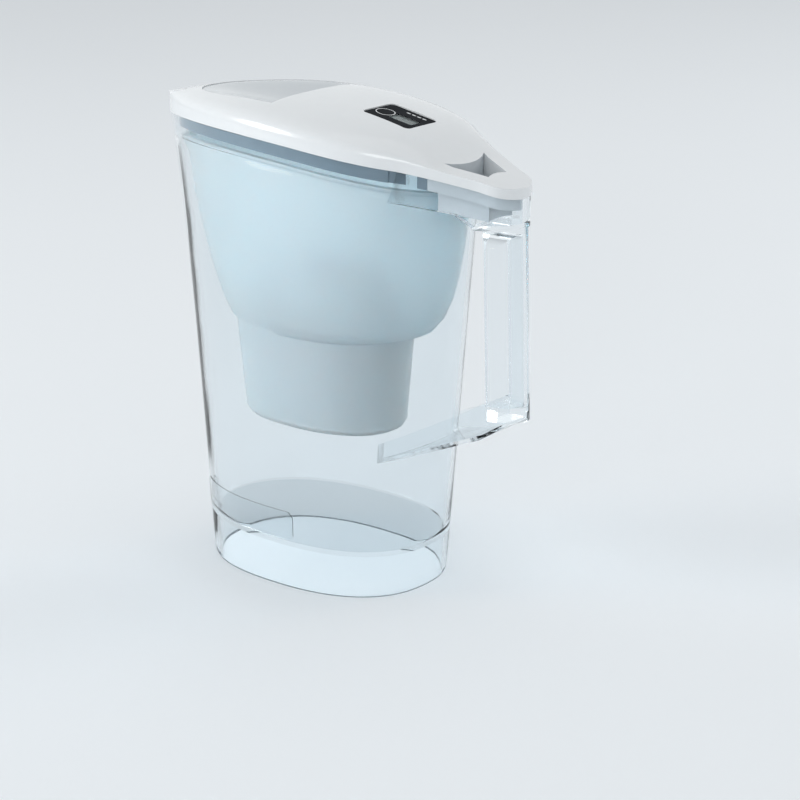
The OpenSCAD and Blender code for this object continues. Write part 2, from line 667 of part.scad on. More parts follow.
// Frame of the timer: origin at the middle of its face, z out of the face
timer_z = lid_z(timer_x, 0) - 0.9;
module in_timer() {
    translate([timer_x, 0, timer_z])
    rotate([0, timer_tilt, 0])
    children();
}
module plate(l, w, h, r) {
    linear_extrude(h)
    union() {
        square([l - 2 * r, w], center = true);
        square([l, w - 2 * r], center = true);
        for (sx = [-1, 1]) for (sy = [-1, 1]) {
            translate([sx * (l / 2 - r), sy * (w / 2 - r)])
            circle(r = r, $fn = 32);
        }
    }
}
pocket_gap = 0.35;
pocket_wall = 1.8;
face_r = 3;
module lid() {
    color([0.96, 0.97, 0.98])
    difference() {
        union() {
            lid_shell();
            intersection() {
                union() {
                    in_timer()
                    translate([0, 0, -timer_h - pocket_wall])
                    plate(timer_len + 2 * pocket_gap + 2 * pocket_wall,
                        timer_w + 2 * pocket_gap + 2 * pocket_wall, timer_h + pocket_wall, face_r + 2);
                    flap_ears();
                    leaf_ears();
                }
                lid_outer_solid();
            }
            // Wall around the finger hole
            intersection() {
                translate([0, 0, rim_z(hole_x1) - hole_depth - 10])
                linear_extrude(60)
                difference() {
                    hole_plan(lid_wall);
                    hole_plan(0);
                }
                side_prism([[hole_x0 - 5, rim_z(hole_x0) + 6], [hole_x1 + 5, rim_z(hole_x1) + 5],
                    [hole_x1 + 5, rim_z(hole_x1) - hole_depth], [hole_x0 - 5, rim_z(hole_x0) - hole_depth]]);
            }
        }
        translate([0, 0, rim_h - 60])
        linear_extrude(90)
        hole_plan(0);
        flap_opening();
        rim_slot();
        intersection() {
            translate([0, 0, rim_h - 40])
            linear_extrude(80)
            polygon(leaf_plan(0));
            union() {
                leaf_barrel(barrel_r + barrel_gap, leaf_w);
                translate([tip_x - 5, -half_w, rim_h - 40])
                cube([leaf_px - tip_x + 5, body_w, 80]);
            }
        }
        in_timer()
        translate([0, 0, -timer_h])
        plate(timer_len + 2 * pocket_gap, timer_w + 2 * pocket_gap, timer_h + 20, face_r + pocket_gap);
        in_timer()
        translate([0, 0, -timer_h - 10])
        cylinder(h = 12, d = 10, $fn = 32);
        translate([flap_px, 0, flap_pz])
        rotate([90, 0, 0])
        cylinder(h = 2 * (flap_py + 0.4), r = pin_r + pin_gap, center = true, $fn = 32);
        translate([leaf_px, 0, leaf_pz])
        rotate([90, 0, 0])
        cylinder(h = 2 * (leaf_w + 2), r = 1 + pin_gap, center = true, $fn = 32);
    }
}

// ---- Fill flap ----
flap_t = 2;
flap_edge = 1.6;
// Depth of the scoop below the dome at one point of the flap
function scoop_d(x, y) = max(0.6, scoop * pow(clamp01(1 - pow((hinge_x - x) / flap_len, 2)
    - pow(y / flap_w, 2)), 1.2));
function flap_z(x, y) = lid_z(x, abs(y) / lid_half(x)) - scoop_d(x, y);
flap_nx = 14;
flap_ny = 10;
function flap_half(x) = (flap_w - flap_gap)
    * sqrt(max(0, 1 - pow((hinge_x - x) / (flap_len - flap_gap), 2)));
function flap_xs() = [for (i = [0 : flap_nx]) hinge_x - flap_edge
    - (flap_len - flap_edge - 1.2) * sin(90 * i / flap_nx)];
function flap_points(dz) = [for (x = flap_xs()) for (j = [-flap_ny : flap_ny])
    let (y = flap_half(x) * j / flap_ny) [x, y, flap_z(x, y) - dz]];
function two(a, b, c, d) = [[a, b, c], [a, c, d]];
function flap_faces() = let (c = 2 * flap_ny + 1, n = c * (flap_nx + 1)) [
    for (i = [0 : flap_nx - 1]) for (j = [0 : c - 2]) let (a = i * c + j)
        each concat(two(a, a + c, a + c + 1, a + 1), two(n + a, n + a + 1, n + a + c + 1, n + a + c)),
    for (j = [0 : c - 2]) each two(j, j + 1, n + j + 1, n + j),
    for (j = [0 : c - 2]) let (a = flap_nx * c + j) each two(a, n + a, n + a + 1, a + 1),
    for (i = [0 : flap_nx - 1]) let (a = i * c) each two(a, n + a, n + a + c, a + c),
    for (i = [0 : flap_nx - 1]) let (a = i * c + c - 1) each two(a, a + c, n + a + c, n + a)];
module fill_flap() {
    color([0.95, 0.96, 0.97])
    union() {
        polyhedron(points = concat(flap_points(0), flap_points(flap_t)), faces = flap_faces(),
            convexity = 6);
        for (s = [-1, 1]) {
            translate([flap_px, s * (flap_w - 3.5), flap_pz])
            rotate([-90 * s, 0, 0])
            cylinder(h = 3.5 + 2.4, r = pin_r, $fn = 32);
            translate([flap_px, s * (flap_w - 2.4) , flap_pz])
            rotate([90, 0, 0])
            cylinder(h = 3.4, r = 2.2, center = true, $fn = 32);
        }
    }
}

// ---- Spout flap ----
module spout_flap() {
    color([0.95, 0.96, 0.97])
    union() {
        difference() {
            intersection() {
                lid_outer_solid();
                translate([0, 0, rim_h - 40])
                linear_extrude(80)
                intersection() {
                    polygon(leaf_plan(-leaf_gap));
                    translate([tip_x - 5, -half_w])
                    square([leaf_px - 1.2 - tip_x + 5, body_w]);
                }
            }
            lid_hollow(lid_wall);
            intersection() {
                translate([0, 0, -lid_wall - 0.4])
                lid_outer_solid();
                translate([tip_x + 5, -half_w, rim_h - 30])
                cube([leaf_len, body_w, 60]);
            }
        }
        leaf_barrel(barrel_r, leaf_w - leaf_gap);
        leaf_barrel(1, leaf_w + 1.6);
    }
}

// ---- Timer ----
face_t = 1.2;
case_wall = 1.4;
button_x = -timer_len / 2 + 6.6;
window_x = 4.1;
board_z = -4.6;
module timer_case() {
    l = timer_len - 0.6;
    w = timer_w - 0.6;
    color([0.85, 0.86, 0.87])
    in_timer()
    translate([0, 0, -timer_h + 0.3])
    difference() {
        plate(l, w, timer_h - 0.3 - face_t, face_r);
        translate([0, 0, case_wall])
        plate(l - 2 * case_wall, w - 2 * case_wall, timer_h, face_r - case_wall + 0.4);
    }
}
module timer_face() {
    color([0.03, 0.03, 0.04])
    in_timer()
    translate([0, 0, -face_t])
    difference() {
        plate(timer_len, timer_w, face_t, face_r);
        translate([window_x, -1, -1])
        plate(window_len, window_w, face_t + 2, 1);
        translate([button_x, -1, -1])
        cylinder(h = face_t + 2, d = button_d + 0.3, $fn = 48);
    }
}
module timer_window() {
    color([0.75, 0.80, 0.78, 0.5])
    in_timer()
    translate([window_x, -1, -face_t])
    plate(window_len - 0.04, window_w - 0.04, face_t - 0.15, 0.98);
}
module timer_display() {
    color([0.55, 0.62, 0.55])
    in_timer()
    translate([window_x, -1, -face_t - 1.7])
    plate(window_len + 0.6, window_w + 3, 1.6, 0.8);
}
module timer_contact_strip() {
    color([0.85, 0.55, 0.60])
    in_timer()
    translate([window_x - window_len / 2, window_w / 2 - 1, board_z + 0.8])
    cube([window_len, 1.4, -face_t - 1.7 - board_z - 0.8]);
}
module timer_button() {
    color([0.06, 0.06, 0.07])
    in_timer()
    translate([button_x, -1, 0])
    union() {
        translate([0, 0, -face_t])
        cylinder(h = face_t + 0.2, d = button_d, $fn = 48);
        translate([0, 0, -face_t - 0.8])
        cylinder(h = 0.8, d = button_d + 0.8, $fn = 48);
    }
}
module timer_dome_switch() {
    color([0.75, 0.76, 0.78])
    in_timer()
    translate([button_x, -1, board_z + 0.8])
    union() {
        cylinder(h = 0.5, d = 6, $fn = 32);
        translate([0, 0, 0.5])
        cylinder(h = -face_t - 0.8 - board_z - 0.8 - 0.5 - button_travel - 0.05, d = 3.6, $fn = 32);
    }
}
module timer_board() {
    color([0.10, 0.38, 0.24])
    in_timer()
    translate([0, 0, board_z])
    plate(timer_len - 0.6 - 2 * case_wall - 0.4, timer_w - 0.6 - 2 * case_wall - 0.4, 0.8, 1.4);
}
cell_x = 3;
cell_d = 12.5;
module timer_coin_cell() {
    color([0.78, 0.79, 0.81])
    in_timer()
    translate([cell_x, 0, board_z - 2.1])
    union() {
        cylinder(h = 1.6, d = cell_d, $fn = 48);
        translate([0, 0, -0.2])
        cylinder(h = 0.2, d = cell_d - 2.4, $fn = 48);
    }
}
module timer_cell_clip() {
    color([0.80, 0.81, 0.83])
    in_timer()
    translate([cell_x, 0, board_z - 0.5])
    union() {
        translate([-cell_d / 2 - 0.8, -2, 0])
        cube([cell_d + 1.6, 4, 0.5]);
        for (s = [-1, 1]) {
            translate([s * (cell_d / 2 + 0.55) - 0.25, -2, -1.8])
            cube([0.5, 4, 1.8]);
        }
    }
}

tank();
handle();
reservoir();
lid();
fill_flap();
spout_flap();
cartridge_housing();
cartridge_cap();
cartridge_pull_ring();
cartridge_lip_seal();
upper_screen();
lower_screen();
filter_granules();
timer_case();
timer_face();
timer_window();
timer_display();
timer_button();
timer_dome_switch();
timer_board();
timer_contact_strip();
timer_coin_cell();
timer_cell_clip();
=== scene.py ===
"""Looks of a slim water filter jug: clear tank, frosted reservoir, white lid, cartridge and change timer."""

import json
import math

import bmesh
import bpy
from mathutils import Matrix, Vector

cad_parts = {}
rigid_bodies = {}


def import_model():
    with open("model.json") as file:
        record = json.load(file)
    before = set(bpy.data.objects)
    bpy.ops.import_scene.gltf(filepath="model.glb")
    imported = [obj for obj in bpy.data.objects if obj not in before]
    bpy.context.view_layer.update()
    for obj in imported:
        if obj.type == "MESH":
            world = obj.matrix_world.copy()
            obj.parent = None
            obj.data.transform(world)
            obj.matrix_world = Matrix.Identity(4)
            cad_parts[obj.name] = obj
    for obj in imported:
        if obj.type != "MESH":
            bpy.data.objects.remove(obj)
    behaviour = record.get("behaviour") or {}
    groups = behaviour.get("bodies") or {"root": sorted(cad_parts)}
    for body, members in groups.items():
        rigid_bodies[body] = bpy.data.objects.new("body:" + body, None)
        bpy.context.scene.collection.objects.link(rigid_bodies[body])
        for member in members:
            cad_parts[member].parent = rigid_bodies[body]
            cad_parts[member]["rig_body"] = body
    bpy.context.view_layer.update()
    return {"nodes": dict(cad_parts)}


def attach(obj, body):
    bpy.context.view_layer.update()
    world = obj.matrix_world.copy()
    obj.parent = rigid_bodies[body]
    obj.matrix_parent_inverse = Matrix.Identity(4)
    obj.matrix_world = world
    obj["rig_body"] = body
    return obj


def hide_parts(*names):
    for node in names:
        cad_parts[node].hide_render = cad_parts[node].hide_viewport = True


bl_info = {
    "name": "Slim filter jug",
    "version": (1, 0, 0),
    "blender": (4, 5, 0),
    "location": "3D View > Sidebar > Filter Jug",
    "description": "Finishes and small pieces of a slim water filter jug",
    "category": "Object",
}

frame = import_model()
NODES = frame["nodes"]
MM = 0.001

# The timer's own frame: the middle of its face, with x along the jug and z out of the face.
TIMER_AT = Vector((42.5, 0.0, 267.083)) * MM
TIMER_TILT = math.radians(11.0)
TIMER_PLACE = Matrix.Translation(TIMER_AT) @ Matrix.Rotation(TIMER_TILT, 4, "Y")

# Marks on the timer, in that frame and in millimetres: middles, steps between repeats and sizes.
BUTTON_AT = (-9.15, -1.0, 0.0)
RING_WIDTH = 0.55
MARK_COUNT = 4
FIRST_BAR = (-1.2, 9.4, 0.0)
BAR_STEP = 3.6
BAR_SIZE = (2.6, 1.1)
FIRST_SEGMENT = (-0.5, -0.4, -1.3)
SEGMENT_STEP = 3.05
SEGMENT_SIZE = (2.2, 4.2)
MARK_CORNER = 0.3

# The tank's rim, in millimetres: a parabola with its top at RIM_CREST along the jug, which is RIM_FALL lower
# at RIM_REACH from there.
RIM_TOP = 257.0
RIM_FALL = 8.4
RIM_CREST = -40.0
RIM_REACH = 100.0

# The blank pad on the tank, in millimetres: its ends, its foot and top, the cut at its corners and its gap to
# the wall.
PAD_ENDS = (-74, 7)
PAD_HEIGHTS = (29, 46)
PAD_CORNER = 2.1
PAD_GAP = 0.03

# Heights in metres between which the tank's floor plate lies, and its share of the wall's brightness.
FLOOR_PLATE = (0.016, 0.032)
# That smaller share is a painted shade on the floor plate inside the foot, and it also darkens the light the
# plate lets through.
FLOOR_PAINTED_SHADE = 0.86

# The lid, in metres: how far below the tank's rim its skirt starts, where its block over the handle starts,
# where its lowered arms start, over what length they sink, and how far above the rim the edge is that they
# sink toward. ARMS_SINK is the share of their height over that edge that they lose.
# Below the rim the skirt's outer faces get a dark painted shade, and those of the block over the handle a
# lighter one.
SKIRT_DROP = 0.0002
SOCKET_START = 0.08
ARMS_START = 0.079
ARMS_BLEND = 0.012
ARMS_EDGE = 0.0055
ARMS_SINK = 0.72

# Faces count as level or upright by the upward share of their normal.
LEVEL = 0.7
UPRIGHT = 0.6

# Copies of CAD meshes: the welding distance in metres, how flat and how square a pair of triangles has to be
# to become one face, and the least angles, in degrees, that stay sharp.
WELD = 1e-6
PAIR_FLATNESS = math.radians(12)
PAIR_SHAPE = math.radians(70)
SHARP = 35.0
WALL_SHARP = 40.0
LID_SHARP = 32.0

# Indexes of refraction, picked for the look.
WALL_BEND = 1.17
FLOOR_BEND = 1.01
PAD_BEND = 1.4
LENS_BEND = 1.1
FROSTED_BEND = 1.49

# Soft round lamps: name, place, aim, width and the setting that holds the watts.
LAMPS = (
    ("soft_top", (0.1, 0.35, 1.75), (0, 0, 0.2), 1.5, "top_light"),
    ("soft_back", (1.1, 2.4, 1.2), (0, 0, 0.2), 1.2, "back_light"),
    ("soft_left", (-2.1, -1.9, 1.0), (0, 0, 0.17), 1.2, "side_light"),
    ("soft_front", (1.3, -2.9, 0.95), (0, 0, 0.17), 1.2, "front_light"),
)
FLOOR_RADIUS = 9.0
FLOOR_CORNER = 0.2

# The camera, fitted to the photograph's outlines: its lens in pixels of a picture PICTURE_WIDTH wide, its
# place in metres and its angles in radians.
PICTURE_WIDTH = 800
LENS_IN_PIXELS = 2241.17
SENSOR_WIDTH = 36.0
CAMERA_AT = (0.78308, -0.93441, 0.49878)
CAMERA_DOWN = 0.3177
CAMERA_TURN = 0.6701


# ---------------------------------------------------------------- sizes and colours


def colour(name, description, default):
    """A colour that the sidebar shows as a swatch."""
    return bpy.props.FloatVectorProperty(
        name=name, description=description, default=default, subtype="COLOR", size=3, min=0.0, max=1.0
    )


def length(name, description, default, **limits):
    """A length in metres."""
    return bpy.props.FloatProperty(
        name=name, description=description, default=default, unit="LENGTH", precision=5, **limits
    )


class JugColours(bpy.types.PropertyGroup):
    """Colours of the moulded parts."""

    clear: colour("Clear plastic", "Tint of the tank and handle", (0.94, 0.970, 0.985))
    clear_edge: colour("Clear edge", "Tint where the clear wall is seen edge on", (0.89, 0.935, 0.96))
    frosted: colour("Frosted plastic", "Milky tint of the reservoir", (0.84, 0.95, 1.0))
    white: colour("White plastic", "Lid, fill flap and spout flap", (0.76, 0.785, 0.80))
    # Painted shade: the fill flap is the lid's white plastic, greyed where its scooped recess lies in shade.
    scoop_shade: colour("Scoop shade", "Painted shade: soft grey on the white scooped fill flap", (0.53, 0.565, 0.59))
    # Painted shade: the skirt and the block over the handle are the lid's white plastic, darkened below the
    # rim.
    skirt_shade: colour("Skirt shade", "Painted shade: grey-blue on the lid's white skirt inside the rim", (0.15, 0.205, 0.25))
    socket: colour("Lid socket shade", "Painted shade: grey on the outer faces of the lid's white block over the handle", (0.50, 0.54, 0.57))
    # Partly painted shade: the cartridge's own grey is darkened further for the shaded inside of the
    # reservoir.
    cartridge: colour("Cartridge plastic and shade", "Housing and cap of the cartridge: grey plastic darkened with painted shade", (0.23, 0.28, 0.32))
    ring: colour("Pull ring", "Ring on the cartridge cap", (0.10, 0.30, 0.55))
    black: colour("Timer face", "Glossy face round the display", (0.012, 0.014, 0.017))
    display: colour("Display", "Grey-green glass of the display", (0.11, 0.14, 0.137))
    print_white: colour("Print", "Marks printed on the timer face", (0.78, 0.80, 0.81))


class JugSizes(bpy.types.PropertyGroup):
    """Sizes of the details that the finishes add."""

    pad_height: length("Pad height", "Thickness of the blank pad on the tank", 0.0005, min=0.0002, max=0.001)
    ring_mark: length("Ring mark radius", "Middle of the printed ring round the button", 0.0052, min=0.0045)
    mark_height: length("Mark height", "How far a printed mark stands off the face", 0.00004, min=0.00001)


class StageSettings(bpy.types.PropertyGroup):
    """Floor, background and light."""

    floor: colour("Floor", "Colour of the floor", (0.90, 0.935, 0.96))
    background: colour("Background", "Colour behind the jug", (0.93, 0.965, 0.985))
    ambient: bpy.props.FloatProperty(
        name="Ambient", description="Strength of the even light all round", default=0.61, min=0.0, max=2.0
    )
    top_light: bpy.props.FloatProperty(
        name="Top light", description="Watts of the soft lamp above", default=2.2, min=0.0, max=100.0
    )
    side_light: bpy.props.FloatProperty(
        name="Side light", description="Watts of the soft lamp at the left", default=34.0, min=0.0, max=100.0
    )
    front_light: bpy.props.FloatProperty(
        name="Front light", description="Watts of the soft lamp in front", default=15.0, min=0.0, max=100.0
    )
    back_light: bpy.props.FloatProperty(
        name="Back light", description="Watts of the soft lamp behind", default=14.0, min=0.0, max=100.0
    )


def colours():
    """The colours set in the sidebar."""
    return bpy.context.scene.jug_colours


def sizes():
    """The sizes set in the sidebar."""
    return bpy.context.scene.jug_sizes


# ---------------------------------------------------------------- node helpers


def put(tree, kind, values=None, **settings):
    """A new node with its settings and the values or links of its input sockets."""
    node = tree.nodes.new(kind)
    for key, value in settings.items():
        setattr(node, key, value)
    for key, value in (values or {}).items():
        feed(tree, node.inputs[key], value)
    return node


def feed(tree, socket, value):
    """Sets a socket, or links it where the value is another socket."""
    if isinstance(value, bpy.types.NodeSocket):
        tree.links.new(value, socket)
    elif socket.type == "RGBA" and len(value) == 3:
        socket.default_value = (*value, 1.0)
    else:
        socket.default_value = value


def group(name, inputs, outputs, build):
    """A shader node group with named sockets, made once and then shared."""
    tree = bpy.data.node_groups.get(name)
    if tree:
        return tree
    tree = bpy.data.node_groups.new(name, "ShaderNodeTree")
    for label, kind, default in inputs:
        socket = tree.interface.new_socket(label, in_out="INPUT", socket_type=kind)
        socket.default_value = (*default, 1.0) if kind == "NodeSocketColor" else default
    for label, kind in outputs:
        tree.interface.new_socket(label, in_out="OUTPUT", socket_type=kind)
    start = tree.nodes.new("NodeGroupInput").outputs
    end = tree.nodes.new("NodeGroupOutput").inputs
    for label, socket in build(tree, start).items():
        tree.links.new(socket, end[label])
    return tree


FLOAT = "NodeSocketFloat"
COLOUR = "NodeSocketColor"

# Sockets of a Mix node that mixes colours.
MIX_SHARE, MIX_FIRST, MIX_SECOND, MIX_RESULT = 0, 6, 7, 2


def noise(tree, scale, detail=3.0, vector=None, rough=0.5):
    """Noise on object coordinates."""
    vector = vector or object_place(tree)
    values = {"Vector": vector, "Scale": scale, "Detail": detail, "Roughness": rough}
    return put(tree, "ShaderNodeTexNoise", values).outputs["Fac"]


def spread(tree, value, low, high, to_low=0.0, to_high=1.0):
    """Maps a band of values to another band and clamps it."""
    values = {"Value": value, "From Min": low, "From Max": high, "To Min": to_low, "To Max": to_high}
    return put(tree, "ShaderNodeMapRange", values).outputs["Result"]


def sums(tree, operation, *terms):
    """One Math node on its terms."""
    node = put(tree, "ShaderNodeMath", operation=operation)
    for socket, term in zip(node.inputs, terms):
        feed(tree, socket, term)
    return node.outputs[0]


def blend_colour(tree, share, first, second):
    """A mix of two colours."""
    node = put(tree, "ShaderNodeMix", data_type="RGBA")
    feed(tree, node.inputs[MIX_SHARE], share)
    feed(tree, node.inputs[MIX_FIRST], first)
    feed(tree, node.inputs[MIX_SECOND], second)
    return node.outputs[MIX_RESULT]


def colour_drift():
    """Two colours that drift into each other slowly across a moulding."""

    def build(tree, start):
        cloud = noise(tree, start["Scale"], 2.0)
        share = sums(tree, "MULTIPLY", spread(tree, cloud, 0.3, 0.7), start["Share"])
        return {"Colour": blend_colour(tree, share, start["Colour"], start["Other"])}

    inputs = [
        ("Colour", COLOUR, (0.8, 0.8, 0.8)),
        ("Other", COLOUR, (0.7, 0.7, 0.7)),
        ("Scale", FLOAT, 9.0),
        ("Share", FLOAT, 1.0),
    ]
    return group("colour drift", inputs, [("Colour", COLOUR)], build)


def mould_grain():
    """Fine spark-eroded grain of a moulding, with faint flow waves under it."""

    def build(tree, start):
        fine = noise(tree, start["Scale"], 4.0, rough=0.65)
        slow = noise(tree, sums(tree, "MULTIPLY", start["Scale"], 0.03), 1.0)
        waves = sums(tree, "MULTIPLY", slow, start["Waves"])
        return {"Height": sums(tree, "ADD", fine, waves), "Mask": spread(tree, fine, 0.35, 0.65)}

    inputs = [("Scale", FLOAT, 1500.0), ("Waves", FLOAT, 2.0)]
    return group("mould grain", inputs, [("Height", FLOAT), ("Mask", FLOAT)], build)


def handling_marks():
    """Roughness with wiped streaks and finger smudges."""

    def build(tree, start):
        place = object_place(tree)
        slant = {"Vector": place, "Rotation": (0.4, 0.9, 0.2), "Scale": (1.0, 1.0, 9.0)}
        turned = put(tree, "ShaderNodeMapping", slant).outputs[0]
        streaks = spread(tree, noise(tree, start["Scale"], 5.0, turned), 0.55, 0.75)
        smudges = spread(tree, noise(tree, sums(tree, "MULTIPLY", start["Scale"], 0.35), 2.0), 0.48, 0.68)
        marks = sums(tree, "MAXIMUM", sums(tree, "MULTIPLY", streaks, 0.6), smudges)
        band = {"Value": marks, "To Min": start["Clean"], "To Max": start["Worn"]}
        between = put(tree, "ShaderNodeMapRange", band)
        return {"Roughness": between.outputs["Result"], "Mask": marks}

    inputs = [("Clean", FLOAT, 0.2), ("Worn", FLOAT, 0.35), ("Scale", FLOAT, 60.0)]
    return group("handling marks", inputs, [("Roughness", FLOAT), ("Mask", FLOAT)], build)


def edge_wear():
    """A paler or darker rub where the surface turns sharply."""

    def build(tree, start):
        bend = put(tree, "ShaderNodeNewGeometry").outputs["Pointiness"]
        rub = sums(tree, "MULTIPLY", spread(tree, bend, 0.51, 0.56), start["Share"])
        broken = sums(tree, "MULTIPLY", rub, spread(tree, noise(tree, 240.0), 0.35, 0.6))
        return {"Colour": blend_colour(tree, broken, start["Colour"], start["Edge"]), "Mask": broken}

    inputs = [("Colour", COLOUR, (0.5, 0.5, 0.5)), ("Edge", COLOUR, (0.9, 0.9, 0.9)), ("Share", FLOAT, 0.5)]
    return group("edge wear", inputs, [("Colour", COLOUR), ("Mask", FLOAT)], build)


def fine_dust():
    """A thin film of dust on faces that look up."""

    def build(tree, start):
        normal = put(tree, "ShaderNodeNewGeometry").outputs["Normal"]
        up = put(tree, "ShaderNodeSeparateXYZ", {"Vector": normal}).outputs["Z"]
        specks = spread(tree, noise(tree, 130.0, 6.0), 0.45, 0.7)
        film = sums(tree, "MULTIPLY", spread(tree, up, 0.5, 1.0), specks)
        share = sums(tree, "MULTIPLY", film, start["Share"])
        return {"Colour": blend_colour(tree, share, start["Colour"], start["Dust"]), "Mask": share}

    inputs = [("Colour", COLOUR, (0.5, 0.5, 0.5)), ("Dust", COLOUR, (0.7, 0.7, 0.7)), ("Share", FLOAT, 0.1)]
    return group("fine dust", inputs, [("Colour", COLOUR), ("Mask", FLOAT)], build)


def use(tree, shared, **values):
    """Places a shared group and returns its outputs."""
    node = put(tree, "ShaderNodeGroup", node_tree=shared)
    for key, value in values.items():
        feed(tree, node.inputs[key], value)
    return node.outputs


def relief(tree, shader, height, distance, strength=1.0):
    """Fine relief on a shader, from a height."""
    node = put(tree, "ShaderNodeBump", {"Height": height, "Distance": distance, "Strength": strength})
    tree.links.new(node.outputs["Normal"], shader.inputs["Normal"])


def grain_relief(tree, shader, scale, waves, depth):
    """Mould grain as fine relief on a shader."""
    relief(tree, shader, use(tree, mould_grain(), Scale=scale, Waves=waves)["Height"], depth)


def drifting(tree, tone, other, scale):
    """A tone that drifts into another across the moulding."""
    return use(tree, colour_drift(), Colour=tone, Other=other, Scale=scale, Share=1.0)["Colour"]


def handled(tree, shader, clean, worn, scale):
    """Handling marks as the roughness of a shader."""
    marks = use(tree, handling_marks(), Clean=clean, Worn=worn, Scale=scale)
    tree.links.new(marks["Roughness"], shader.inputs["Roughness"])


def object_place(tree):
    """Coordinates in the piece's own frame."""
    return put(tree, "ShaderNodeTexCoord").outputs["Object"]


def set_values(shader, values):
    """Sets unlinked inputs of a shader."""
    for key, value in values.items():
        shader.inputs[key].default_value = value


def blank_material(name):
    """A material that has only a Principled shader on its output."""
    mat = bpy.data.materials.new(name)
    mat.use_nodes = True
    tree = mat.node_tree
    tree.nodes.clear()
    out = tree.nodes.new("ShaderNodeOutputMaterial")
    shader = tree.nodes.new("ShaderNodeBsdfPrincipled")
    tree.links.new(shader.outputs[0], out.inputs["Surface"])
    return mat, tree, shader, out


def dimmer(tone, by):
    """The same colour, darker or lighter by a factor."""
    return tuple(min(1.0, c * by) for c in tone)


def let_light_through(tree, shader, out, tint, share=1.0):
    """Lets lamps reach what is inside a see-through wall, with the wall's tint."""
    passing = put(tree, "ShaderNodeBsdfTransparent", {"Color": tint})
    path = put(tree, "ShaderNodeLightPath").outputs["Is Shadow Ray"]
    fac = sums(tree, "MULTIPLY", path, share)
    mix = put(tree, "ShaderNodeMixShader")
    tree.links.new(fac, mix.inputs[0])
    tree.links.new(shader.outputs[0], mix.inputs[1])
    tree.links.new(passing.outputs[0], mix.inputs[2])
    tree.links.new(mix.outputs[0], out.inputs["Surface"])


# ---------------------------------------------------------------- finishes


def moulded(name, tone, rough=(0.25, 0.4), grain=1500.0, depth=0.00002, waves=2.0, drift=0.93, marks=60.0,
            dust=0.05, wear=0.25, edge=1.12):
    """An opaque moulded plastic with drift, grain, handling marks, rubbed edges and a little dust."""
    mat, tree, shader, out = blank_material(name)
    base = drifting(tree, tone, dimmer(tone, drift), 14.0)
    worn = use(tree, edge_wear(), Colour=base, Edge=dimmer(tone, edge), Share=wear)["Colour"]
    dusty = use(tree, fine_dust(), Colour=worn, Dust=(0.62, 0.63, 0.63), Share=dust)["Colour"]
    tree.links.new(dusty, shader.inputs["Base Color"])
    handled(tree, shader, *rough, marks)
    grain_relief(tree, shader, grain, waves, depth)
    return mat, tree, shader, out


def clear_plastic(name, bend, painted_shade_dim=1.0):
    """Polished clear plastic: pale through the wall, blue-grey where it is seen edge on."""
    mat, tree, shader, out = blank_material(name)
    # A darkening below one is a painted shade: it darkens the colour and, squared, the light let through.
    tone, rim = dimmer(colours().clear, painted_shade_dim), dimmer(colours().clear_edge, painted_shade_dim)
    facing = put(tree, "ShaderNodeLayerWeight", {"Blend": 0.35}).outputs["Facing"]
    side = spread(tree, sums(tree, "POWER", facing, 2.2), 0.25, 1.0)
    base = drifting(tree, tone, dimmer(tone, 0.975), 11.0)
    tree.links.new(blend_colour(tree, side, base, rim), shader.inputs["Base Color"])
    handled(tree, shader, 0.015, 0.075, 38.0)
    grain_relief(tree, shader, 900.0, 14.0, 0.00001)
    set_values(shader, {"IOR": bend, "Transmission Weight": 1.0})
    let_light_through(tree, shader, out, dimmer((0.90, 0.93, 0.95), painted_shade_dim * painted_shade_dim))
    return mat


def frosted_plastic():
    """Milky plastic of the reservoir, with a satin skin."""
    mat, tree, shader, out = blank_material("frosted milk plastic")
    tone = tuple(colours().frosted)
    tree.links.new(drifting(tree, tone, dimmer(tone, 0.95), 10.0), shader.inputs["Base Color"])
    handled(tree, shader, 0.31, 0.38, 45.0)
    grain_relief(tree, shader, 1300.0, 3.0, 0.00003)
    milky = {
        "IOR": FROSTED_BEND,
        "Transmission Weight": 0.6,
        "Subsurface Weight": 1.0,
        "Subsurface Radius": (0.8, 0.95, 1.0),
        "Subsurface Scale": 0.008,
    }
    set_values(shader, milky)
    let_light_through(tree, shader, out, dimmer(tone, 0.95), 0.8)
    return mat


def white_plastic(name, tone):
    """Glossy plastic of the lid and flaps."""
    mat, tree, shader, out = moulded(
        name, tone, (0.16, 0.27), grain=1100.0, depth=0.000012, waves=5.0, drift=0.975, marks=40.0, dust=0.06,
        wear=0.2, edge=1.05,
    )
    let_light_through(tree, shader, out, tone, 0.4)
    gloss = {
        "Coat Weight": 0.25,
        "Coat Roughness": 0.08,
        "Subsurface Weight": 0.12,
        "Subsurface Radius": (0.9, 1.0, 1.0),
        "Subsurface Scale": 0.002,
    }
    set_values(shader, gloss)
    return mat


def glossy_black():
    """Piano black of the timer face and button."""
    mat, _, shader, _ = moulded(
        "glossy black plastic", tuple(colours().black), (0.05, 0.14), grain=2500.0, depth=0.000003, waves=3.0,
        drift=0.7, marks=160.0, dust=0.01, wear=0.1, edge=4.0,
    )
    set_values(shader, {"Specular IOR Level": 0.004})
    return mat


def window_plastic():
    """Clear lens over the display."""
    mat, tree, shader, out = blank_material("clear display lens")
    tone = (0.95, 0.96, 0.96)
    tree.links.new(drifting(tree, tone, (0.92, 0.94, 0.94), 60.0), shader.inputs["Base Color"])
    handled(tree, shader, 0.01, 0.06, 260.0)
    grain_relief(tree, shader, 3000.0, 2.0, 0.000002)
    set_values(shader, {"IOR": LENS_BEND, "Transmission Weight": 1.0})
    let_light_through(tree, shader, out, tone)
    return mat


